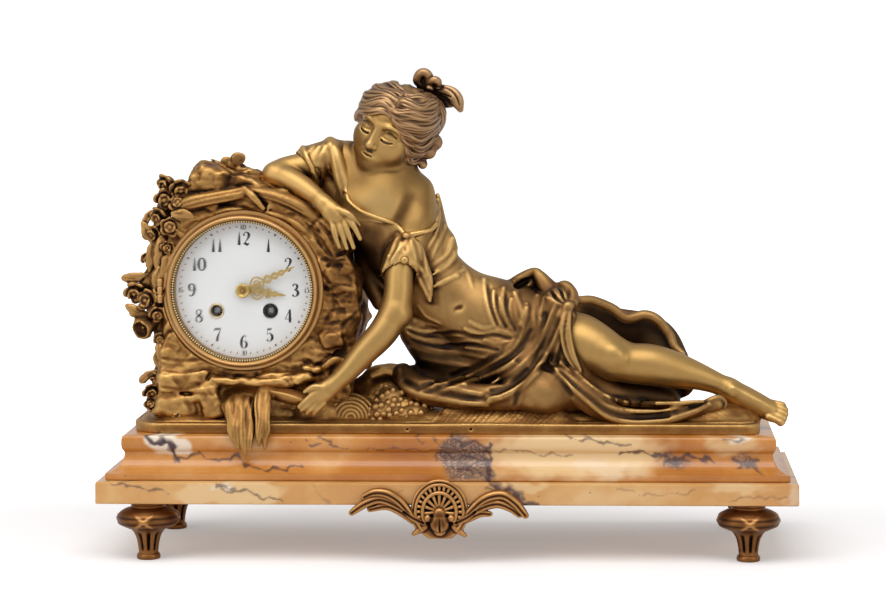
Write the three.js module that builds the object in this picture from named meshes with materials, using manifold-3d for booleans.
// A mantel clock with a reclining cast figure: a moulded marble base on four turned feet, a cast terrace,
// a rock that cases the round clock, and an eight-day striking movement inside the rock.
// Millimetres, +Z up, the dial faces -Y. The origin is on the table, under the middle of the whole clock.
import * as THREE from "three";
import { mergeVertices } from "three/addons/utils/BufferGeometryUtils.js";
import Module from "manifold-3d";

const wasm = await Module();
wasm.setup();

// Fits
const seatGap = 0.3; // between pieces that rest on or fit into one another
const runGap = 0.35; // around a shaft that turns
const slipGap = 0.15; // around a piece that slides on and stays

// Marble base and feet
const baseLength = 500;
const baseDepth = 155;
const plinthThick = 15.6;
const mouldThick = 30.1;
const mouldInsetFoot = 7.5; // the fillet at the bottom of the moulded slab
const mouldInsetNeck = 22.6; // the narrowest place, above the cove
const mouldInsetTop = 20;
const edgeEase = 1.2;
const footHeight = 41.5;
const footEndInset = 35; // foot centre from the end of the base
const footSideInset = 16.5; // foot centre from the front or back of the base
const footBulbRadius = 22.3;
const footRingRadius = 8.4;
const footCupRadius = 12.4;
const studRadius = 3;
const studLength = 13;
const boltRadius = 3;
const boltHeadRadius = 7;
const boltHeadThick = 4;

// Shell mount on the front of the lower slab
const mountProud = 9; // how far it stands in front of the base
const mountWidth = 128;
const mountHeight = 40;
const mountOffset = -4; // from the middle of the base

// Terrace
const terraceLeft = -228;
const terraceRight = 224;
const terraceFront = -44; // from the middle of the whole depth
const terraceBack = 50;
const terraceRim = 7;
const terraceRise = 2; // from the rim to the ground
const terraceWall = 3.5;
const terraceCorner = 26;

// Clock in the rock
const dialX = -150;
const dialHeight = 93; // above the ground of the terrace
const dialRadius = 49.5;
const dialThick = 2.2;
const dialDome = 1.5;
const sleeveWall = 1.6;
const sleeveDepth = 18;
const flangeWidth = 5.9; // beyond the sleeve
const flangeThick = 2.7;
const doorHeight = 6.7;
const doorLip = 2.1; // the door's inner lip stands this far over the glass
const glassThick = 1.5;
const glassDome = 4.8;
const rockFront = -30;
const rockBack = 44;
const bezelSeat = -26; // the face of the rock that the bezel frame is screwed to
const hingeRadius = 2.2;
const hingePinRadius = 1;
const knuckleLength = 5.6;
const windX = 19.5; // winding holes from the dial's centre line
const windDrop = 15; // winding holes below the dial's centre
const windHoleRadius = 4.5;
const grommetWall = 1;

// Hands
const minuteLength = 42;
const hourLength = 32;
const handThick = 0.6;
const hourPastTwelve = 3 + 10.9 / 60; // the time shown

// Movement
const plateRadius = 45;
const plateThick = 2.5;
const plateGap = 34;
const dialToPlate = 4.8;
const pillarRadius = 3;
const pillarPitch = 38; // pillars from the centre
const greatTeeth = 32;
const wheelTeeth = 26;
const pinionTeeth = 8;
const wheelModule = 0.88;
const escapeTeeth = 18;
const escapeRadius = 8;
const wheelThick = 1.4;
const arborRadius = 1.3;
const barrelDepth = 19;
const palletRise = 11; // pallet arbor above the escape wheel
const pendulumLength = 108;
const bobRadius = 12;
const bobThick = 6;
const bellRadius = 21;
const bellDepth = 12;
const bellWall = 1.6;
const strapWidth = 8;
const strapThick = 1.6;

// Figure
const headWidth = 27; // half the head's width, hair left out
const neckRadius = 12.5;

// Levels, from the table up
const plinthBase = footHeight + seatGap;
const mouldBase = plinthBase + plinthThick + seatGap;
const terraceBase = mouldBase + mouldThick + seatGap;
const groundZ = terraceBase + terraceRim + terraceRise;
const footOverhang = Math.max(footBulbRadius - footSideInset, 0);
const baseCentreY = (mountProud - footOverhang) / 2;
const baseFront = baseCentreY - baseDepth / 2;

// Radii that follow from the dial
const sleeveInner = dialRadius + seatGap + slipGap;
const sleeveOuter = sleeveInner + sleeveWall;
const boreRadius = sleeveOuter + seatGap;
const flangeRadius = sleeveOuter + flangeWidth;
const doorRadius = flangeRadius - 1.5;
const spotRadius = flangeRadius + 1;

// Depths along the clock's axis, from front to back
const flangeBack = bezelSeat - seatGap;
const flangeFront = flangeBack - flangeThick;
const doorBack = flangeFront - seatGap;
const doorFront = doorBack - doorHeight;
const dialFront = flangeBack + 1.8; // the dial's edge lies just inside the sleeve
const dialBack = dialFront + dialThick;
const plateFront = dialBack + dialToPlate;
const trainFront = plateFront + plateThick;
const trainBack = trainFront + plateGap;
const backPlateBack = trainBack + plateThick;

const farOut = baseDepth; // past every face, for cuts that go right through

const TAU = 2 * Math.PI;
const degrees = (d) => (d * TAU) / 360;

// A closed mesh as a solid, turned right side out.
function solidOf(geometry) {
  const bare = geometry.clone();
  bare.deleteAttribute("normal");
  bare.deleteAttribute("uv");
  const merged = mergeVertices(bare, 1e-4);
  const vertProperties = merged.attributes.position.array;
  const faces = [];
  for (let i = 0; i < merged.index.count; i += 3) {
    const [a, b, c] = [0, 1, 2].map((k) => merged.index.array[i + k]);
    if (a !== b && b !== c && c !== a) faces.push([a, b, c]);
  }
  const make = (list) =>
    new wasm.Manifold(
      new wasm.Mesh({ numProp: 3, vertProperties, triVerts: new Uint32Array(list.flat()) }),
    );
  const made = make(faces);
  return made.volume() < 0 ? make(faces.map(([a, b, c]) => [a, c, b])) : made;
}

function geometryOf(solid) {
  const mesh = solid.getMesh();
  return new THREE.BufferGeometry()
    .setAttribute("position", new THREE.BufferAttribute(new Float32Array(mesh.vertProperties), 3))
    .setIndex(new THREE.BufferAttribute(new Uint32Array(mesh.triVerts), 1));
}

const join = (...solids) => solids.reduce((all, next) => all.add(next));
const cut = (solid, ...tools) => tools.reduce((left, tool) => left.subtract(tool), solid);
const move = (solid, x, y, z) => solid.translate([x, y, z]);

function block(x0, x1, y0, y1, z0, z1) {
  const box = new THREE.BoxGeometry(x1 - x0, y1 - y0, z1 - z0);
  return solidOf(box.translate((x0 + x1) / 2, (y0 + y1) / 2, (z0 + z1) / 2));
}

// Round bars along Y and along Z.
function barY(x, z, radius, y0, y1, sides = 16) {
  const bar = new THREE.CylinderGeometry(radius, radius, y1 - y0, sides);
  return solidOf(bar.translate(x, (y0 + y1) / 2, z));
}

function barZ(x, y, radius, z0, z1, sides = 16) {
  const bar = new THREE.CylinderGeometry(radius, radius, z1 - z0, sides);
  return solidOf(bar.rotateX(TAU / 4).translate(x, y, (z0 + z1) / 2));
}

// A profile of [radius, height] turned about Y, or about Z.
function turnedY(profile, segments = 24) {
  return solidOf(new THREE.LatheGeometry(profile.map(([r, y]) => new THREE.Vector2(r, y)), segments));
}

function turnedZ(profile, segments) {
  const lathe = new THREE.LatheGeometry(profile.map(([r, z]) => new THREE.Vector2(r, z)), segments);
  return solidOf(lathe.rotateX(TAU / 4));
}

// A flat outline in X and Z given thickness along Y.
function plate(shape, y0, y1, bevel = {}) {
  const options = { depth: y1 - y0, bevelEnabled: false, curveSegments: 4, ...bevel };
  const made = new THREE.ExtrudeGeometry(shape, options);
  return solidOf(made.rotateX(TAU / 4).translate(0, y1, 0));
}

// A low round lump. Grown by the seat gap, a form cuts the room that its neighbour leaves for it.
function lump([x, y, z, rx, ry = rx, rz = rx], grow = 0, detail = 1) {
  const ball = new THREE.IcosahedronGeometry(1, detail).scale(rx + grow, ry + grow, rz + grow);
  return solidOf(ball.translate(x, y, z));
}

// A body carried along a smooth path. Each station is [x, y, z, half-width, half-depth]:
// the half-width lies in the plane of the front view, the half-depth runs towards the viewer.
function loft(stations, grow = 0, sides = 10, steps = 1) {
  const path = new THREE.CatmullRomCurve3(stations.map(([x, y, z]) => new THREE.Vector3(x, y, z)));
  const sizes = new THREE.CatmullRomCurve3(
    stations.map(([, , , wide, deep = wide]) => new THREE.Vector3(wide + grow, deep + grow, 0)),
  );
  const towards = new THREE.Vector3(0, 1, 0);
  const rings = [];
  const ring = (centre, along, wide, deep) => {
    const depth = towards.clone().addScaledVector(along, -towards.dot(along)).normalize();
    const width = depth.clone().cross(along);
    rings.push(
      Array.from({ length: sides }, (_, k) =>
        centre
          .clone()
          .addScaledVector(width, wide * Math.cos((k * TAU) / sides))
          .addScaledVector(depth, deep * Math.sin((k * TAU) / sides)),
      ),
    );
  };
  const last = (stations.length - 1) * steps;
  const ends = [];
  for (let k = 0; k <= last; k++) {
    const centre = path.getPoint(k / last);
    const along = path.getTangent(k / last);
    const { x: wide, y: deep } = sizes.getPoint(k / last);
    const dome = Math.min(wide, deep);
    const cap = (sign) => {
      ends.push(centre.clone().addScaledVector(along, sign * dome * 0.8));
      return centre.clone().addScaledVector(along, sign * dome * 0.55);
    };
    if (k === 0) ring(cap(-1), along, wide * 0.72, deep * 0.72);
    ring(centre, along, wide, deep);
    if (k === last) ring(cap(1), along, wide * 0.72, deep * 0.72);
  }
  const points = rings.flat().concat(ends);
  const index = [];
  const at = (row, k) => row * sides + (k % sides);
  const start = rings.length * sides;
  for (let k = 0; k < sides; k++) {
    for (let row = 0; row + 1 < rings.length; row++) {
      index.push(at(row, k), at(row, k + 1), at(row + 1, k + 1));
      index.push(at(row, k), at(row + 1, k + 1), at(row + 1, k));
    }
    index.push(start, at(0, k + 1), at(0, k));
    index.push(start + 1, at(rings.length - 1, k), at(rings.length - 1, k + 1));
  }
  return solidOf(new THREE.BufferGeometry().setFromPoints(points).setIndex(index));
}

// Moulded slab: a rectangle whose inset follows a profile of [inset, height].
function mouldedSlab(length, depth, profile) {
  const corners = [[-1, -1], [1, -1], [1, 1], [-1, 1]];
  const points = profile.flatMap(([inset, z]) =>
    corners.map(([i, j]) => new THREE.Vector3(i * (length / 2 - inset), j * (depth / 2 - inset), z)),
  );
  const index = [0, 2, 1, 0, 3, 2];
  const top = points.length - 4;
  index.push(top, top + 1, top + 2, top, top + 2, top + 3);
  for (let row = 0; row + 1 < profile.length; row++) {
    for (let k = 0; k < 4; k++) {
      const [a, b] = [row * 4 + k, row * 4 + ((k + 1) % 4)];
      index.push(a, b, b + 4, a, b + 4, a + 4);
    }
  }
  return solidOf(new THREE.BufferGeometry().setFromPoints(points).setIndex(index));
}

// Finishes
const finish = (color, roughness, metalness) => () =>
  new THREE.MeshStandardMaterial({ color, roughness, metalness });
const gilt = finish(0xb08a48, 0.38, 0.9);
const bronze = finish(0x7a5730, 0.5, 0.8);
const brass = finish(0xc9a24e, 0.3, 0.95);
const steel = finish(0x8c8f94, 0.35, 0.95);
const marble = finish(0xd69a48, 0.25, 0);
const enamel = finish(0xf2efe6, 0.15, 0);
const clear = finish(0xffffff, 0.05, 0);

const clock = new THREE.Group();
const ground = new THREE.Group(); // what stands on the terrace
ground.position.z = groundZ;
const drum = new THREE.Group(); // what turns about the dial's axis
drum.position.set(dialX, 0, dialHeight);
ground.add(drum);
clock.add(ground);

function add(parent, name, solid, material) {
  const mesh = new THREE.Mesh(geometryOf(solid), material());
  mesh.name = name;
  parent.add(mesh);
}

// Marble base
const footPlaces = [
  ["foot_front_left", -1, -1],
  ["foot_front_right", 1, -1],
  ["foot_rear_left", -1, 1],
  ["foot_rear_right", 1, 1],
].map(([name, i, j]) => [
  name,
  i * (baseLength / 2 - footEndInset),
  baseCentreY + j * (baseDepth / 2 - footSideInset),
]);
const studHoles = footPlaces.map(([, x, y]) =>
  barZ(x, y, studRadius + 2 * seatGap, footHeight, footHeight + studLength + 1, 10),
);
const boltPlaces = [["tie_bolt_rock", dialX + 30], ["tie_bolt_figure", 62]];
const boltTop = groundZ + 14;
const boltHoles = boltPlaces.map(([, x]) =>
  barZ(x, baseCentreY, boltRadius + 2 * seatGap, footHeight, boltTop + 1, 10),
);
const plinthProfile = [
  [edgeEase, 0],
  [0, edgeEase],
  [0, plinthThick - edgeEase],
  [edgeEase, plinthThick],
];
const onBase = (solid, z) => move(solid, 0, baseCentreY, z);
const plinth = onBase(mouldedSlab(baseLength, baseDepth, plinthProfile), plinthBase);
add(clock, "marble_plinth_slab", cut(plinth, ...studHoles, ...boltHoles), marble);

// The moulded slab rises as a fillet, a hollow cove and a rounded top edge.
const filletHeight = 4.9;
const coveHeight = 12.7;
const coveSteps = 4;
const cove = Array.from({ length: coveSteps + 1 }, (_, k) => {
  const turn = degrees((90 * k) / coveSteps);
  return [
    mouldInsetFoot + (mouldInsetNeck - mouldInsetFoot) * Math.sin(turn),
    filletHeight + coveHeight * (1 - Math.cos(turn)),
  ];
});
const ovoloRise = mouldThick - filletHeight - coveHeight;
const mouldProfile = [
  [mouldInsetFoot, 0],
  ...cove,
  [mouldInsetTop + 0.5, filletHeight + coveHeight + ovoloRise * 0.3],
  [mouldInsetTop, filletHeight + coveHeight + ovoloRise * 0.55],
  [mouldInsetTop + 0.6, mouldThick - edgeEase],
  [mouldInsetTop + 0.6 + edgeEase, mouldThick],
];
const moulded = onBase(mouldedSlab(baseLength, baseDepth, mouldProfile), mouldBase);
add(clock, "marble_moulded_slab", cut(moulded, ...studHoles, ...boltHoles), marble);

// Turned feet: a ring, a flared cup, a broad bulb and a collar, with the stud on top.
const collarRise = 3.2;
const bulbRise = 16.2;
const bulbBase = footHeight - collarRise - bulbRise;
const ringRise = 4.6;
const bulbSteps = 3;
const bulb = Array.from({ length: bulbSteps + 1 }, (_, k) => {
  const turn = degrees(-58 + (116 * k) / bulbSteps);
  return [
    footBulbRadius - 8 * (1 - Math.cos(turn)),
    bulbBase + (bulbRise * (1 + Math.sin(turn) / Math.sin(degrees(58)))) / 2,
  ];
});
const footProfile = [
  [0, 0],
  [footRingRadius, 0],
  [footRingRadius, ringRise - 0.6],
  [footRingRadius - 1.2, ringRise],
  [footRingRadius - 0.6, ringRise + 6],
  [footCupRadius, bulbBase - 0.8],
  ...bulb,
  [footCupRadius, footHeight - collarRise],
  [footCupRadius, footHeight],
  [studRadius, footHeight],
  [studRadius, footHeight + studLength],
  [0, footHeight + studLength],
];
for (const [name, x, y] of footPlaces) add(clock, name, move(turnedZ(footProfile, 12), x, y, 0), brass);

for (const [name, x] of boltPlaces) {
  const headTop = plinthBase - seatGap;
  const head = barZ(x, baseCentreY, boltHeadRadius, headTop - boltHeadThick, headTop, 6);
  const shank = barZ(x, baseCentreY, boltRadius, headTop - 1, boltTop, 12);
  add(clock, name, join(head, shank), steel);
}

// Places of the movement's arbors, as [x, z] from the dial's centre
const pitch = (teeth, module) => (teeth * module) / 2;
const apart = (teethA, teethB, module) => pitch(teethA + teethB, module);
const angleTo = (from, to) => Math.atan2(to[1] - from[1], to[0] - from[0]);
const facing = (angle, teeth) => angle + Math.PI + Math.PI / teeth; // a gap towards the mating tooth
const polar = ([x, z], distance, turn) => [x + distance * Math.cos(turn), z + distance * Math.sin(turn)];
// The point at distances ra and rb from a and b, on the side that lies to the left of the way from a to b.
function meet(a, ra, b, rb, side) {
  const gap = Math.hypot(b[0] - a[0], b[1] - a[1]);
  const along = (gap * gap + ra * ra - rb * rb) / (2 * gap);
  const off = Math.sqrt(ra * ra - along * along) * side;
  const [ux, uz] = [(b[0] - a[0]) / gap, (b[1] - a[1]) / gap];
  return [a[0] + ux * along - uz * off, a[1] + uz * along + ux * off];
}

const centre = [0, 0];
const goingBarrelAt = [windX, -windDrop];
const strikeBarrelAt = [-windX, -windDrop];
const barrelRim = 1.4; // the teeth stand out past the drum
const greatRadius = windX - 1.6;
const greatModule = (2 * greatRadius) / greatTeeth;
const greatApart = apart(greatTeeth, pinionTeeth, greatModule);
const wheelApart = apart(wheelTeeth, pinionTeeth, wheelModule);
const secondAt = meet(centre, wheelApart, goingBarrelAt, greatApart, 1);
const pinAt = meet(centre, wheelApart, strikeBarrelAt, greatApart, -1);
const thirdAt = polar(centre, wheelApart, degrees(98));
const escapePinion = 8;
const escapeModule = 0.7;
const escapeApart = apart(wheelTeeth, escapePinion, escapeModule);
const escapeAt = [0, thirdAt[1] + Math.sqrt(escapeApart ** 2 - thirdAt[0] ** 2)];
const palletAt = [0, escapeAt[1] + palletRise];
const flyAt = polar(pinAt, apart(wheelTeeth, escapePinion, escapeModule), degrees(118));

// Shell mount: a ribbed fan over a boss, two leaf scrolls with drooping tips, two prongs and a drop.
const mountY = baseFront - seatGap;
const mountZ = mouldBase - 16.8;
const fanRibs = 5;
const fanReach = mountHeight * 0.44;
const half = mountWidth / 2;
const onMount = ([x, y, z, ...sizes]) => [mountOffset + x, mountY + y, mountZ + z, ...sizes];
const fan = Array.from({ length: fanRibs }, (_, k) => {
  const turn = degrees(20 + (140 * k) / (fanRibs - 1));
  const [x, z] = [Math.cos(turn) * fanReach, Math.sin(turn) * fanReach];
  return [[0, -3, 0, 2, 4], [x * 0.65, -3, z * 0.65, 4.4, 5], [x, -1, z, 4.6, 3.4]];
});
const scrolls = [-1, 1].flatMap((side) => [
  [
    [side * 8, -2, -4, 6, 5],
    [side * half * 0.4, -2, 1, 7, 5],
    [side * half * 0.7, -2, -1, 5.5, 4],
    [side * (half - 2.4), -1, -8, 2.6, 3],
  ],
  [
    [side * 10, -2, -6, 4, 4],
    [side * 22, -1.5, -13, 3.4, 3.4],
    [side * 27, -1, 3 - mountHeight / 2, 1.8, 2.4],
  ],
]);
const mountBoss = lump(onMount([0, -2, -3, 12, mountProud - 2 - seatGap, 11]));
const mountDrop = lump(onMount([0, -1, 7 - mountHeight / 2, 4, 4, 8]));
const mountForms = [...fan, ...scrolls].map((form) => loft(form.map(onMount), 0, 5));
const mountRoom = block(-half * 2, half * 2, baseFront - mountProud, mountY, 0, terraceBase);
add(clock, "shell_mount", join(...mountForms, mountBoss, mountDrop).intersect(mountRoom), brass);

// Terrace: a hollow cast plate with an upright rim, round at the left, and a step up to the ground.
function terraceOutline(inset) {
  const [x0, x1] = [terraceLeft + inset, terraceRight - inset];
  const [y0, y1] = [terraceFront + inset, terraceBack - inset];
  const round = Math.max(terraceCorner - inset, 2);
  const small = Math.max(terraceCorner * 0.45 - inset, 2);
  const shape = new THREE.Shape();
  shape.moveTo(x0 + round, y0);
  shape.lineTo(x1 - small, y0);
  shape.quadraticCurveTo(x1, y0, x1, y0 + small);
  shape.lineTo(x1, y1 - small);
  shape.quadraticCurveTo(x1, y1, x1 - small, y1);
  shape.lineTo(x0 + round, y1);
  shape.quadraticCurveTo(x0, y1, x0, y1 - round);
  shape.lineTo(x0, y0 + round);
  shape.quadraticCurveTo(x0, y0, x0 + round, y0);
  return shape;
}
function terraceSlab(inset, z0, z1) {
  const options = { depth: z1 - z0, bevelEnabled: false, curveSegments: 3 };
  return solidOf(new THREE.ExtrudeGeometry(terraceOutline(inset), options).translate(0, 0, z0));
}
const rimBottom = -terraceRise - terraceRim;
const groundStep = 3; // the ground starts this far inside the rim
const hills = [
  [dialX + 98, 8, 0, 22, 24, 20],
  [-14, -34, 0, 20, 6, 13],
  [36, -37, -2, 40, 4.6, 7],
  [204, 8, -4, 19, 30, 9],
  [146, 32, -4, 46, 15, 12],
];
const groundRoom = block(-baseLength, baseLength, -baseDepth, baseDepth, rimBottom * 3, -1);
const groundBolts = boltHoles.map((hole) => move(hole, 0, 0, -groundZ));
const terraceForm = (grow = 0) =>
  join(
    move(terraceSlab(-grow, rimBottom, -terraceRise), 0, 0, grow),
    move(terraceSlab(groundStep - grow, rimBottom, 0), 0, 0, grow),
    ...hills.map((hill) => cut(lump(hill, grow), groundRoom)),
  );

// Rock: its wall stands round the bore by the given amount at each angle, in degrees from the right.
const rockWall = [
  [-56, 60], [-34, 44], [-16, 36], [5, 29], [26, 25], [45, 20], [62, 14], [81, 18],
  [96, 30], [109, 38], [125, 32], [144, 17], [178, 7], [220, 29], [238, 58],
];
const rockBevel = 7;
const rockRing = new THREE.SplineCurve(
  rockWall.map(([turn, wall]) => new THREE.Vector2(...polar(centre, boreRadius + wall, degrees(turn)))),
);
const rockShape = new THREE.Shape(rockRing.getPoints(20));
const onRock = ([x, y, z, ...sizes]) => [dialX + x, y, dialHeight + z, ...sizes];
const ledge = [
  [-46, -22, 66, 7, 9],
  [-20, -26, 69, 8, 9],
  [12, -24, 66, 7, 9],
  [36, -16, 62, 5, 8],
];
const boulders = [
  [-34, -8, 82, 18, 18, 17],
  [-4, 4, 78, 22, 26, 13],
  [62, -14, 32, 15, 18, 20],
  [70, -8, -20, 16, 18, 26],
  [62, -12, -64, 18, 18, 20],
  [-46, -18, -78, 18, 16, 20],
  [18, -24, -66, 34, 12, 6],
];
const flowers = [
  [-50, -10, 71, 11, 10, 11],
  [-60, -12, 45, 10, 9, 11],
  [-67, -12, 25, 9, 8, 14],
  [-72, -13, -7, 15, 9, 10],
  [-70, -13, -27, 13, 9, 10],
  [-66, -17, -75, 12, 9, 13],
  [-8, -20, 92, 12, 6, 9],
];
const wellFront = backPlateBack + 1;
const bobSwing = 12; // room at each side of the bob
const well = block(
  dialX - bobRadius - bobSwing,
  dialX + bobRadius + bobSwing,
  wellFront,
  wellFront + bobThick + 8,
  dialHeight + palletAt[1] - pendulumLength - bobRadius - 4,
  dialHeight,
);
const boreSides = 28;
const acrossFlats = (radius) => radius / Math.cos(TAU / 2 / boreSides);
const spotFace = barY(dialX, dialHeight, acrossFlats(spotRadius), -farOut, bezelSeat, boreSides);
const hingeNotch = block(
  dialX - flangeRadius - 18,
  dialX - flangeRadius + 8,
  -farOut,
  bezelSeat,
  dialHeight - 18,
  dialHeight + 18,
);
const bore = barY(dialX, dialHeight, acrossFlats(boreRadius), -farOut, farOut, boreSides);
const aboveGround = block(-baseLength, baseLength, -farOut, farOut, seatGap, baseLength);
function rockForm(grow = 0) {
  const body = plate(rockShape, rockFront + rockBevel - grow, rockBack - rockBevel, {
    bevelEnabled: true,
    bevelThickness: rockBevel,
    bevelSize: rockBevel,
    bevelOffset: grow - rockBevel,
    bevelSegments: 1,
  });
  return join(
    move(body, dialX, 0, dialHeight),
    loft(ledge.map(onRock), grow, 8),
    ...boulders.map((form) => lump(onRock(form), grow, 0)),
    ...flowers.map((form) => lump(onRock(form), grow)),
  );
}
const behindRock = block(-baseLength, baseLength, rockBack, 2 * farOut, -baseLength, baseLength);
const rock = cut(
  rockForm().intersect(aboveGround),
  bore,
  spotFace,
  hingeNotch,
  well,
  behindRock,
  ...groundBolts,
);

// Figure. The stations follow each limb from the shoulder or hip outwards.
const rightSleeve = [[-66, 6, 180, 15], [-88, 4, 187, 15.5], [-112, 2, 185, 13.5]];
const rightForearm = [
  [-100, 2, 185, 11],
  [-126, -1, 179, 11],
  [-130, -5, 174, 10.5],
  [-110, -17, 168, 9.5],
  [-93, -29, 157, 6.6, 6],
  [-84, -35, 150, 8, 4.5],
  [-79, -37, 142, 8, 3.6],
  [-74, -38, 128, 6, 3],
];
const rightArmForm = (grow = 0) => join(loft(rightSleeve, grow, 8), loft(rightForearm, grow, 8, 2));
const leftSleeve = [[-26, 2, 164, 16], [-31, -12, 140, 15], [-34, -20, 116, 15, 13], [-36, -24, 106, 14, 11]];
const leftForearm = [
  [-35, -24, 112, 10],
  [-37, -31, 92, 9.6],
  [-43, -34, 74, 10, 9.6],
  [-63, -37, 50, 9, 8],
  [-82, -39, 30, 6.6, 5.6],
  [-93, -41, 22, 8, 5],
  [-102, -42, 13, 7, 4],
];
const leftArmForm = (grow = 0) => join(loft(leftSleeve, grow, 9), loft(leftForearm, grow, 8, 2));
const leftLeg = [
  [66, 2, 60, 27, 25],
  [92, -6, 55, 21],
  [112, -10, 48, 16.5],
  [128, -10, 42, 14.5],
  [146, -10, 38, 14],
  [170, -8, 33, 11.5],
  [196, -6, 23, 7.6],
  [208, -6, 17, 8.5],
  [224, -8, 11, 9, 9.5],
  [238, -10, 4, 6.5, 8.5],
];
const leftLegForm = (grow = 0) => loft(leftLeg, grow, 9, 2);
const headAt = [-43, -2, 213];
const onHead = ([x, y, z, ...sizes]) => [headAt[0] + x, headAt[1] + y, headAt[2] + z, ...sizes];
const neck = [[-4, 7, -45, neckRadius + 2], [-2, 4, -31, neckRadius], [-1, 2, -13, neckRadius]];
const face = [
  [2, 4, 22, headWidth * 0.8],
  [0, 0, 6, headWidth * 0.98],
  [-6, -6, -12, headWidth * 0.8],
  [-12, -12, -26, headWidth * 0.42],
];
const hair = [
  [6, 6, 4, headWidth * 1.1],
  [18, 12, -26, 9, 9, 12],
  [22, 8, 34, 8, 6, 7],
  [31, 6, 29, 7, 5, 6],
];
const bowTail = [[32, 6, 28, 5, 3], [42, 6, 20, 5, 3], [49, 6, 11, 2.4]];
const headForm = (grow = 0) =>
  join(
    loft(neck.map(onHead), grow, 8),
    loft(face.map(onHead), grow, 10),
    loft(bowTail.map(onHead), grow, 6),
    ...hair.map((form) => lump(onHead(form), grow)),
  );
const torso = [
  [-47, 6, 178, 20, 14],
  [-47, 5, 162, 33, 20],
  [-42, 3, 146, 34, 24],
  [-33, 4, 122, 33, 24],
  [-16, 6, 98, 29, 24],
  [6, 6, 80, 29, 26],
  [32, 5, 66, 35, 29],
  [58, 3, 58, 36, 30],
];
const bust = [[-58, -14, 140, 15, 12, 14], [-27, -14, 138, 15, 12, 14]];
const skirt = [[34, 4, 60, 34, 30], [50, 0, 36, 48, 34], [56, -2, 14, 60, 36], [58, -2, -2, 64, 37]];
const seatRoll = [
  [-36, -6, 30, 8, 9],
  [-22, -20, 20, 10, 9],
  [10, -30, 16, 10, 8],
  [44, -33, 16, 10, 7],
  [66, -32, 20, 12, 9],
];
const bentLeg = [[40, -4, 46, 22, 20], [68, -27, 24, 16, 13], [90, -16, 14, 13, 14], [120, 0, 8, 10, 12]];
const backCloth = [
  [72, 14, 78, 12, 8],
  [92, 18, 74, 13, 6],
  [118, 21, 64, 15, 5],
  [146, 21, 56, 17, 5],
  [162, 16, 40, 14, 6],
  [172, 10, 20, 14, 8],
];
const frontCloth = [
  [78, -28, 30, 12, 8],
  [96, -31, 18, 14, 7],
  [122, -32, 8, 10, 7],
  [152, -31, 8, 9, 8],
  [182, -27, 10, 8, 7],
  [196, -24, 11, 6, 6],
];
const underCloth = [[90, -8, 20, 22, 20], [130, -8, 10, 12, 20], [172, -4, 6, 8, 18]];
const hipLoops = [
  [[34, 8, 90, 9, 10], [50, 9, 99, 8, 9], [60, 8, 100, 5, 8], [66, 4, 88, 7, 9]],
  [[66, 4, 82, 9, 10], [82, 0, 90, 6, 8], [89, -8, 82, 6, 7], [86, -16, 74, 8, 7]],
  [[86, -18, 78, 6, 6], [84, -26, 60, 8, 5], [88, -27, 44, 9, 5], [94, -28, 34, 9, 6]],
];
const bodyForm = (grow = 0) =>
  join(
    loft(torso, grow, 11),
    loft(skirt, grow, 10),
    ...[seatRoll, bentLeg, backCloth, frontCloth, underCloth, ...hipLoops].map((form) => loft(form, grow, 6)),
    ...bust.map((form) => lump(form, grow)),
  );

// Each casting is cut back from the ones that it is fitted to, with the seat gap between them.
const largest = (solid) => solid.decompose().sort((a, b) => b.volume() - a.volume())[0];
const head = headForm();
const rightArm = cut(rightArmForm(), headForm(seatGap), rockForm(seatGap));
const leftArm = cut(leftArmForm(), headForm(seatGap), rockForm(seatGap), terraceForm(seatGap));
const leg = cut(leftLegForm(), terraceForm(seatGap));
const fitted = [headForm, rightArmForm, leftArmForm, leftLegForm, rockForm].map((form) => form(seatGap));
const body = cut(bodyForm().intersect(aboveGround), ...fitted, ...groundBolts);
const terraceHollow = terraceSlab(terraceWall, rimBottom - 1, -terraceWall);
const standing = [rockForm, bodyForm].map((form) => form(seatGap).intersect(aboveGround));
const terrace = cut(terraceForm(), terraceHollow, ...groundBolts, ...standing);

// Water: streams that leave a hollow at the foot of the rock, cross the rim and hang over the marble.
const overRim = terraceFront - 5;
const pastMarble = baseFront + mouldInsetTop - 4;
const streams = [
  [
    [-156, -26, 17, 5, 4],
    [-154, -38, 14, 5.5, 4],
    [-153, overRim, 4, 5, 3],
    [-152, overRim - 1, -7, 4.5, 2.4],
  ],
  [
    [-146, -26, 18, 4],
    [-145, -39, 13, 4],
    [-144, overRim - 4, 0, 4, 3.4],
    [-143, pastMarble, -14, 3.6, 2.6],
    [-142, pastMarble, -23, 2],
  ],
  [
    [-130, -30, 22, 5],
    [-133, -43, 16, 5, 4],
    [-135, overRim - 5, 0, 4.6, 3.4],
    [-136, pastMarble, -14, 3.4, 2.6],
    [-136, pastMarble, -24, 1.7],
  ],
];
const brook = [[-158, -30, 13, 4, 6], [-132, -37, 16, 5, 6], [-112, -40, 16, 6, 5], [-98, -36, 10, 6, 5]];
const marbleRoom = move(moulded, 0, -seatGap, seatGap - groundZ);
const water = cut(
  join(...[...streams, brook].map((form) => loft(form, 0, 6))),
  rockForm(seatGap),
  leftArmForm(seatGap),
  terraceForm(seatGap),
  marbleRoom,
);
add(ground, "terrace", largest(terrace), bronze);
add(ground, "rock_case", largest(rock), bronze);
add(ground, "figure_body", largest(body), gilt);
add(ground, "figure_head", head, gilt);
add(ground, "figure_right_arm", largest(rightArm), gilt);
add(ground, "figure_left_arm", largest(leftArm), gilt);
add(ground, "figure_left_leg", largest(leg), gilt);
add(ground, "spring_water", largest(water), bronze);

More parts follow.
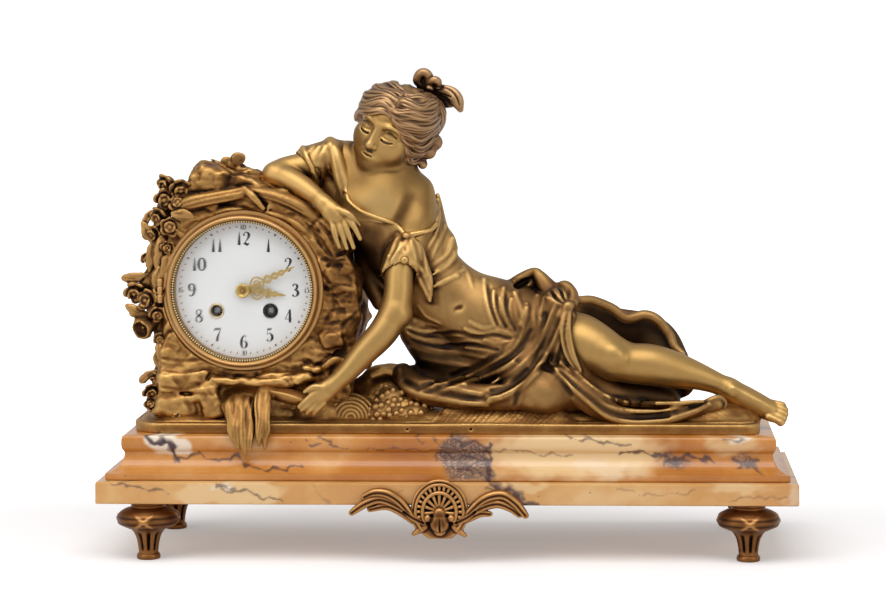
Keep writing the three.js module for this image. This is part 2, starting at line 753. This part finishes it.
// Clock front, turned about the dial's axis
const sleeveBack = flangeBack + sleeveDepth;
const frameRing = turnedY([
  [sleeveInner, flangeFront],
  [flangeRadius, flangeFront],
  [flangeRadius, flangeBack],
  [sleeveOuter, flangeBack],
  [sleeveOuter, sleeveBack],
  [sleeveInner, sleeveBack],
  [sleeveInner, flangeFront],
]);
const hingeX = -(flangeRadius + hingeRadius + 0.3);
const knuckle = (y, z0) => barZ(hingeX, y, hingeRadius, z0, z0 + knuckleLength, 8);
const pinHole = (y) => barZ(hingeX, y, hingePinRadius + runGap, -farOut, farOut, 8);
const pinLength = 3 * (knuckleLength + seatGap);
const leaf = (y0, y1, z0, reach) => block(hingeX, hingeX + reach, y0, y1, z0, z0 + knuckleLength);
const knuckleStep = knuckleLength + seatGap;
const outerKnuckles = [-1, 1].map((side) => side * knuckleStep - knuckleLength / 2);
const frontHingeY = doorBack - hingeRadius + 1.2;
const swing = hingeRadius + seatGap; // room for the other leaf's knuckles
const hingeSpan = knuckleStep * 1.6;
const hingeRoom = (y) => barZ(hingeX, y, swing + slipGap, -hingeSpan, hingeSpan, 8);
const frontFrame = cut(
  join(
    cut(frameRing, hingeRoom(frontHingeY)),
    ...outerKnuckles.map((z) => knuckle(frontHingeY, z)),
    ...outerKnuckles.map((z) => leaf(flangeFront + 0.2, flangeBack - 0.2, z, 6)),
  ),
  pinHole(frontHingeY),
);
add(drum, "bezel_frame", frontFrame, brass);

const glassRadius = doorRadius - 5.3;
const lipRadius = glassRadius - doorLip;
const rebateFront = doorBack - 2.6;
const doorRing = turnedY([
  [glassRadius + seatGap, doorBack],
  [doorRadius, doorBack],
  [doorRadius, doorBack - doorHeight * 0.48],
  [doorRadius - 1, doorBack - doorHeight * 0.78],
  [doorRadius - 2.8, doorFront],
  [doorRadius - 4.6, doorFront + 0.4],
  [lipRadius + 1.2, doorFront + 2],
  [lipRadius, rebateFront - 1],
  [lipRadius, rebateFront],
  [glassRadius + seatGap, rebateFront],
  [glassRadius + seatGap, doorBack],
]);
const door = cut(
  join(
    cut(doorRing, hingeRoom(frontHingeY)),
    knuckle(frontHingeY, -knuckleLength / 2),
    leaf(doorBack - 1.9, doorBack - 0.1, -knuckleLength / 2, 8),
  ),
  pinHole(frontHingeY),
);
add(drum, "bezel_door", door, brass);
const hingePin = (y) => barZ(hingeX, y, hingePinRadius, -pinLength / 2, pinLength / 2, 8);
add(drum, "bezel_hinge_pin", hingePin(frontHingeY), steel);

const glassFront = rebateFront + seatGap;
const domeRadius = lipRadius - 0.4;
const domeRings = 3;
const domed = (rise) =>
  Array.from({ length: domeRings + 1 }, (_, k) => {
    const share = k / domeRings;
    return [domeRadius * share, rise * (1 - share * share)];
  });
const glassBack = glassFront + glassThick;
add(
  drum,
  "bezel_glass",
  turnedY([
    ...domed(-glassDome).map(([r, y]) => [r, glassFront + y]),
    [glassRadius, glassFront],
    [glassRadius, glassBack],
    ...domed(-glassDome).reverse().map(([r, y]) => [r, glassBack + y]),
  ]),
  clear,
);

// Dial, with the hole for the hands and the two winding holes.
const handHole = 3.6;
const windPlaces = [["left", -windX], ["right", windX]];
const grommetRadius = windHoleRadius + grommetWall;
const windBores = windPlaces.map(([, x]) =>
  barY(x, -windDrop, grommetRadius + seatGap, -farOut, farOut, 14),
);
const dialDisc = turnedY([
  [0, dialFront - dialDome],
  [dialRadius * 0.5, dialFront - dialDome * 0.75],
  [dialRadius * 0.8, dialFront - dialDome * 0.36],
  [dialRadius, dialFront],
  [dialRadius, dialBack],
  [0, dialBack],
]);
add(drum, "dial", cut(dialDisc, barY(0, 0, handHole, -farOut, farOut, 16), ...windBores), enamel);
for (const [side, x] of windPlaces) {
  const ringFront = dialFront - dialDome - 0.5;
  const ring = turnedY(
    [
      [windHoleRadius, ringFront],
      [grommetRadius, ringFront],
      [grommetRadius, dialBack],
      [windHoleRadius, dialBack],
      [windHoleRadius, ringFront],
    ],
    14,
  );
  add(drum, `winding_grommet_${side}`, move(ring, x, 0, -windDrop), brass);
}

// Hands: a hub, a pierced scroll and a tapering point, at the time shown.
const pipeRadius = 2.6;
const cannonRadius = 1.7;
const hourHandBack = dialFront - dialDome - 1.6;
const minuteHandBack = hourHandBack - handThick - 1.2;
const loopWall = 1;
function hand(length, hubRadius, boreR, loopAt, loopRadius, turn, y) {
  const shape = new THREE.Shape();
  shape.moveTo(-1.5, 0);
  shape.lineTo(-1.1, loopAt);
  shape.quadraticCurveTo(-1.2, length * 0.8, 0, length);
  shape.quadraticCurveTo(1.2, length * 0.8, 1.1, loopAt);
  shape.lineTo(1.5, 0);
  const blade = plate(shape, y - handThick, y);
  const hub = barY(0, 0, hubRadius, y - handThick, y, 12);
  const loopPlaces = [-1, 1].map((side) => side * loopRadius * 0.75);
  const loops = loopPlaces.map((x) => barY(x, loopAt, loopRadius, y - handThick, y, 8));
  const pierced = loopPlaces.map((x) => barY(x, loopAt, loopRadius - loopWall, -farOut, farOut, 6));
  const whole = cut(join(hub, ...loops), ...pierced);
  return cut(join(whole, blade), barY(0, 0, boreR, -farOut, farOut, 12)).rotate([0, turn, 0]);
}
const hourTurn = hourPastTwelve * 30;
const minuteTurn = (hourPastTwelve % 1) * 360;
const hourHand = hand(hourLength, 5, pipeRadius + slipGap, 14, 3.6, hourTurn, hourHandBack);
const minuteHand = hand(minuteLength, 4.6, cannonRadius + slipGap, 17, 3.2, minuteTurn, minuteHandBack);
add(drum, "hour_hand", hourHand, brass);
add(drum, "minute_hand", minuteHand, brass);
const colletBack = minuteHandBack - handThick - 0.2;
const cannonBore = arborRadius + slipGap;
const collet = turnedY(
  [
    [cannonBore, colletBack],
    [3.6, colletBack],
    [2.6, colletBack - 0.9],
    [cannonBore, colletBack - 1.2],
    [cannonBore, colletBack],
  ],
  12,
);
add(drum, "hand_collet", collet, brass);

// Wheels of the movement. A tooth points at the given angle, measured from +X towards +Z.
const addendum = 0.75;
const dedendum = 1.25;
function gear(teeth, module, y0, y1, tooth) {
  const radius = pitch(teeth, module);
  const points = Array.from({ length: 2 * teeth }, (_, k) => {
    const turn = tooth + (k * TAU) / (2 * teeth);
    const reach = radius + (k % 2 ? -dedendum : addendum) * module;
    return new THREE.Vector2(Math.cos(turn) * reach, Math.sin(turn) * reach);
  });
  return plate(new THREE.Shape(points), y0, y1);
}
// A pinion in mesh with a wheel whose rim lies between two depths; the angle is that from wheel to pinion.
const pinionPast = 0.5;
const pinion = (teeth, module, y0, y1, angle) =>
  gear(teeth, module, y0 - pinionPast, y1 + pinionPast, facing(angle, teeth));
// Layers between the plates
const barrelFront = trainFront + 4;
const barrelBack = barrelFront + barrelDepth;
const greatFront = barrelBack;
const greatBack = greatFront + 2.4;
const secondFront = greatBack + 2;
const centreWheelFront = secondFront + wheelThick + 1.8;
const thirdFront = trainFront + 16;
const escapeFront = trainFront + 21;
const pinFront = trainFront + 1.2;
const bearing = (at) => barY(at[0], at[1], arborRadius + runGap + 0.1, -farOut, farOut, 7);
const stub = plateThick - 0.6; // how far an arbor's pivot runs into its plate
const shaft = (at, y0, y1, radius = arborRadius) => barY(at[0], at[1], radius, y0, y1, 10);
const at = ([x, z], solid) => move(solid, x, 0, z);

// Barrels: drum and great wheel in one, bored for the winding arbor.
const windArbor = 2.6;
function barrel(place, mate) {
  const drumPart = barY(0, 0, greatRadius - barrelRim, barrelFront, greatFront + 0.2, 18);
  const teeth = gear(greatTeeth, greatModule, greatFront, greatBack, angleTo(place, mate));
  return at(place, cut(join(drumPart, teeth), barY(0, 0, windArbor + runGap, -farOut, farOut, 12)));
}
add(drum, "going_barrel", barrel(goingBarrelAt, secondAt), brass);
add(drum, "strike_barrel", barrel(strikeBarrelAt, pinAt), brass);
const squareSize = 3.4;
const squareFront = dialBack + 0.6;
for (const [name, place] of [["going_arbor", goingBarrelAt], ["strike_arbor", strikeBarrelAt]]) {
  const round = shaft(place, plateFront - 0.6, trainBack + stub, windArbor);
  const square = block(
    place[0] - squareSize / 2,
    place[0] + squareSize / 2,
    squareFront,
    plateFront,
    place[1] - squareSize / 2,
    place[1] + squareSize / 2,
  );
  add(drum, name, join(round, square), steel);
}

// Going train
const toSecond = angleTo(goingBarrelAt, secondAt);
const toCentre = angleTo(secondAt, centre);
const toThird = angleTo(centre, thirdAt);
const toEscape = angleTo(thirdAt, escapeAt);
const secondBack = secondFront + wheelThick;
const secondPinion = pinion(pinionTeeth, greatModule, greatFront, greatBack, toSecond);
const secondWheel = gear(wheelTeeth, wheelModule, secondFront, secondBack, toCentre);
const trainArbor = shaft(centre, trainFront - stub, trainBack + stub);
add(drum, "second_wheel", at(secondAt, join(secondPinion, secondWheel, trainArbor)), brass);
const centrePinion = pinion(pinionTeeth, wheelModule, secondFront, secondBack, toCentre);
const centreWheelBack = centreWheelFront + wheelThick;
const centreWheel = gear(wheelTeeth, wheelModule, centreWheelFront, centreWheelBack, toThird);
const centreFront = colletBack - 1.6;
const centreShaft = shaft(centre, centreFront, trainBack + stub);
add(drum, "centre_arbor", join(centrePinion, centreWheel, centreShaft), brass);
const thirdPinion = pinion(pinionTeeth, wheelModule, centreWheelFront, centreWheelBack, toThird);
const thirdBack = thirdFront + wheelThick;
const thirdWheel = gear(wheelTeeth, escapeModule, thirdFront, thirdBack, toEscape);
add(drum, "third_wheel", at(thirdAt, join(thirdPinion, thirdWheel, trainArbor)), brass);
const escapePinionBody = pinion(escapePinion, escapeModule, thirdFront, thirdBack, toEscape);
const escapeModuleTip = (2 * escapeRadius) / escapeTeeth;
const escapeWheel = gear(escapeTeeth, escapeModuleTip, escapeFront, escapeFront + wheelThick, 0);
add(drum, "escape_wheel", at(escapeAt, join(escapePinionBody, escapeWheel, trainArbor)), brass);

// Pallets: an anchor over the escape wheel, its arbor, and the crutch behind the back plate.
const escapeTip = escapeRadius + addendum * escapeModuleTip;
const palletClear = 0.9; // the pallets stay clear of the teeth
const anchorY = [escapeFront, escapeFront + wheelThick];
const anchorSpread = degrees(42); // each side of upright, seen from the escape wheel
const anchorWall = 2.2;
const anchorSteps = 5;
const anchorArc = (radius) =>
  Array.from({ length: anchorSteps + 1 }, (_, k) => {
    const turn = TAU / 4 + anchorSpread * (1 - (2 * k) / anchorSteps);
    return new THREE.Vector2(...polar([0, -palletRise], radius, turn));
  });
const anchorInner = escapeTip + palletClear;
const anchorOuter = anchorInner + anchorWall;
const anchorShape = new THREE.Shape([...anchorArc(anchorOuter), ...anchorArc(anchorInner).reverse()]);
const pendulumY = backPlateBack + 4.5;
const rodHalf = 0.9;
const crutchDrop = 24;
const crutchY = [pendulumY - 3.4, pendulumY - 2];
const forkGap = rodHalf + 0.3;
const crutch = join(
  block(-0.9, 0.9, ...crutchY, -crutchDrop, 1),
  block(-forkGap - 1.2, forkGap + 1.2, ...crutchY, -crutchDrop - 1.4, -crutchDrop),
  block(-forkGap - 1.2, -forkGap, crutchY[0], pendulumY + 1.2, -crutchDrop - 1.4, -crutchDrop),
  block(forkGap, forkGap + 1.2, crutchY[0], pendulumY + 1.2, -crutchDrop - 1.4, -crutchDrop),
);
const pallets = join(
  plate(anchorShape, ...anchorY),
  block(-1.4, 1.4, ...anchorY, anchorInner + 1 - palletRise, 1.4),
  shaft(centre, trainFront - stub, crutchY[1]),
  crutch,
);
add(drum, "pallets", at(palletAt, pallets), steel);

// Pendulum: rod with a hook at the suspension and a lens-shaped bob.
const bobProfile = [
  [0, pendulumY - bobThick / 2],
  [bobRadius * 0.7, pendulumY - bobThick * 0.36],
  [bobRadius, pendulumY - 0.6],
  [bobRadius, pendulumY + 0.6],
  [bobRadius * 0.7, pendulumY + bobThick * 0.36],
  [0, pendulumY + bobThick / 2],
];
const suspensionTop = 2.2;
const pendulum = join(
  block(-rodHalf, rodHalf, pendulumY - 0.9, pendulumY + 0.9, -pendulumLength, suspensionTop - 3),
  move(turnedY(bobProfile, 20), 0, 0, -pendulumLength),
);
add(drum, "pendulum", at(palletAt, pendulum), brass);
const cockHeight = 4;
const cock = join(
  block(-4, 4, backPlateBack + seatGap, pendulumY + 2.4, suspensionTop, suspensionTop + cockHeight),
  block(-0.5, 0.5, pendulumY - 0.6, pendulumY + 0.6, suspensionTop - 2.7, suspensionTop + 0.2),
);
add(drum, "suspension_cock", at(palletAt, cock), brass);

// Motion work behind the dial: one turn of the hour wheel for twelve of the cannon pinion.
const cannonTeeth = 10;
const minuteTeeth = 30;
const minutePinionTeeth = 8;
const hourTeeth = 32;
const motionApart = 10.8;
const motionAt = polar(centre, motionApart, degrees(-90));
const cannonModule = (2 * motionApart) / (cannonTeeth + minuteTeeth);
const hourModule = (2 * motionApart) / (minutePinionTeeth + hourTeeth);
const cannonBack = plateFront - 0.5;
const cannonFront = cannonBack - 1.4;
const hourBack = cannonFront - 0.5;
const hourFront = hourBack - 1.3;
const cannon = cut(
  join(
    gear(cannonTeeth, cannonModule, cannonFront, cannonBack, angleTo(centre, motionAt)),
    barY(0, 0, cannonRadius, minuteHandBack - handThick, cannonBack, 12),
  ),
  barY(0, 0, cannonBore, -farOut, farOut, 12),
);
add(drum, "cannon_pinion", cannon, steel);
const postRadius = 1;
const minuteWheel = cut(
  join(
    gear(minuteTeeth, cannonModule, cannonFront, cannonBack, facing(angleTo(centre, motionAt), minuteTeeth)),
    gear(minutePinionTeeth, hourModule, hourFront, cannonFront + 0.1, angleTo(motionAt, centre)),
  ),
  barY(0, 0, postRadius + 0.25, -farOut, farOut, 10),
);
add(drum, "minute_wheel", at(motionAt, minuteWheel), brass);
const hourWheel = cut(
  join(
    gear(hourTeeth, hourModule, hourFront, hourBack, facing(angleTo(motionAt, centre), hourTeeth)),
    barY(0, 0, pipeRadius, hourHandBack - handThick, hourBack, 14),
  ),
  barY(0, 0, cannonRadius + 0.35, -farOut, farOut, 14),
);
add(drum, "hour_wheel", hourWheel, brass);

// Strike train and hammer
const pinPinion = pinion(pinionTeeth, greatModule, greatFront, greatBack, angleTo(strikeBarrelAt, pinAt));
const pinBack = pinFront + wheelThick;
const pinWheel = gear(wheelTeeth, escapeModule, pinFront, pinBack, angleTo(pinAt, flyAt));
add(drum, "pin_wheel", at(pinAt, join(pinPinion, pinWheel, trainArbor)), brass);
const flyPinion = pinion(escapePinion, escapeModule, pinFront, pinBack, angleTo(pinAt, flyAt));
const vaneHalf = 5.5;
const vane = block(-vaneHalf, vaneHalf, trainFront + 5, trainFront + 14, -0.4, 0.4);
const fly = join(flyPinion, trainArbor, vane);
add(drum, "fly", at(flyAt, fly), brass);

// Bell on its standard behind the back plate, and the hammer that strikes its edge.
const bellAt = [14, 0];
const bellBack = rockBack - 1.2;
const bellFront = bellBack - bellDepth;
const standardRadius = 1.8;
const standard = join(
  shaft(bellAt, backPlateBack + seatGap, bellBack + 0.8, standardRadius),
  shaft(bellAt, backPlateBack + seatGap, backPlateBack + 2.5, 4),
);
add(drum, "bell_standard", standard, steel);
const bellCurve = (radius, depth) =>
  [0, 1, 2, 3].map((k) => {
    const turn = degrees(30 * k);
    return [Math.max(radius * Math.sin(turn), standardRadius + seatGap), bellFront + depth * Math.cos(turn)];
  });
const bellOutside = bellCurve(bellRadius, bellDepth);
const bellInside = bellCurve(bellRadius - bellWall, bellDepth - bellWall).reverse();
const bell = turnedY([...bellOutside, ...bellInside, bellOutside[0]], 18);
add(drum, "bell", at(bellAt, bell), brass);
const hammerAt = [-30, 8];
const hammerHead = 3;
const hammerRest = 1; // the head stands this far off the bell
const strikeAt = [bellAt[0] - bellRadius - hammerRest - hammerHead, bellAt[1] + 1];
const hammerFront = bellFront + 0.4;
const hammerThick = 3;
const hammerReach = [strikeAt[0] - hammerAt[0], strikeAt[1] - hammerAt[1]];
const armLength = Math.hypot(...hammerReach);
const armBar = new THREE.BoxGeometry(armLength, 1.6, 1.8)
  .translate(armLength / 2, hammerFront + hammerThick / 2, 0)
  .rotateY(-angleTo(hammerAt, strikeAt));
const hammer = join(
  shaft(centre, trainFront - stub, hammerFront + hammerThick),
  solidOf(armBar),
  barY(...hammerReach, hammerHead, hammerFront, hammerFront + hammerThick, 12),
);
add(drum, "hammer", at(hammerAt, hammer), steel);

// Plates and pillars
const arbors = [secondAt, thirdAt, escapeAt, pinAt, flyAt, hammerAt, palletAt, centre];
const windHoles = [goingBarrelAt, strikeBarrelAt].map(([x, z]) =>
  barY(x, z, windArbor + runGap, -farOut, farOut, 10),
);
const inSleeve = sleeveInner - 2 * seatGap;
const ears = (y0, y1) => block(-strapWidth / 2, strapWidth / 2, y0, y1, -inSleeve, inSleeve);
const frontPlate = cut(
  join(barY(0, 0, plateRadius, plateFront, trainFront, 22), ears(plateFront, trainFront)),
  ...arbors.map(bearing),
  ...windHoles,
);
const motionPost = at(motionAt, barY(0, 0, postRadius, hourFront - 0.3, plateFront + 0.2, 10));
add(drum, "front_plate", join(frontPlate, motionPost), brass);
add(
  drum,
  "back_plate",
  cut(barY(0, 0, plateRadius, trainBack, backPlateBack, 22), ...arbors.map(bearing), ...windHoles),
  brass,
);
const pillarTurns = { upper_right: 40, upper_left: 140, lower_left: 255, lower_right: 285 };
for (const [name, turn] of Object.entries(pillarTurns)) {
  const place = polar(centre, pillarPitch, degrees(turn));
  add(drum, `pillar_${name}`, shaft(place, trainFront + seatGap, trainBack - seatGap, pillarRadius), brass);
}

// Rear bezel, its door and hinge, and the straps that draw the front and rear bezels together.
const rearFront = rockBack + seatGap;
const rearBack = rearFront + flangeThick;
const rearInner = sleeveInner - 4;
const rearRing = turnedY([
  [rearInner, rearFront],
  [flangeRadius, rearFront],
  [flangeRadius, rearBack],
  [rearInner, rearBack],
  [rearInner, rearFront],
]);
const rearDoorFront = rearBack + seatGap;
const rearDoorThick = 1.6;
const rearHingeY = rearDoorFront + hingeRadius - 1.2;
const rearFrame = cut(
  join(
    cut(rearRing, hingeRoom(rearHingeY)),
    ...outerKnuckles.map((z) => knuckle(rearHingeY, z)),
    ...outerKnuckles.map((z) => leaf(rearFront + 0.2, rearBack - 0.2, z, 6)),
  ),
  pinHole(rearHingeY),
);
add(drum, "rear_bezel", rearFrame, brass);
const rearDoorDome = 3;
const rearDoorDisc = turnedY([
  [0, rearDoorFront + rearDoorDome],
  [doorRadius * 0.55, rearDoorFront + rearDoorDome * 0.8],
  [doorRadius * 0.84, rearDoorFront],
  [doorRadius, rearDoorFront],
  [doorRadius, rearDoorFront + rearDoorThick],
  [doorRadius * 0.84, rearDoorFront + rearDoorThick],
  [doorRadius * 0.55, rearDoorFront + rearDoorDome * 0.8 + rearDoorThick],
  [0, rearDoorFront + rearDoorDome + rearDoorThick],
]);
const rearDoor = cut(
  join(
    cut(rearDoorDisc, hingeRoom(rearHingeY)),
    knuckle(rearHingeY, -knuckleLength / 2),
    leaf(rearDoorFront + 0.1, rearDoorFront + rearDoorThick - 0.1, -knuckleLength / 2, 8),
  ),
  pinHole(rearHingeY),
);
add(drum, "rear_door", rearDoor, brass);
add(drum, "rear_hinge_pin", hingePin(rearHingeY), steel);
for (const [side, sign] of [["left", -1], ["right", 1]]) {
  const outer = sign * inSleeve;
  const inner = outer - sign * strapThick;
  const strap = block(
    Math.min(outer, inner),
    Math.max(outer, inner),
    dialBack + 0.6,
    rearFront - seatGap,
    -strapWidth / 2,
    strapWidth / 2,
  );
  add(drum, `strap_${side}`, strap, steel);
}

export default clock;
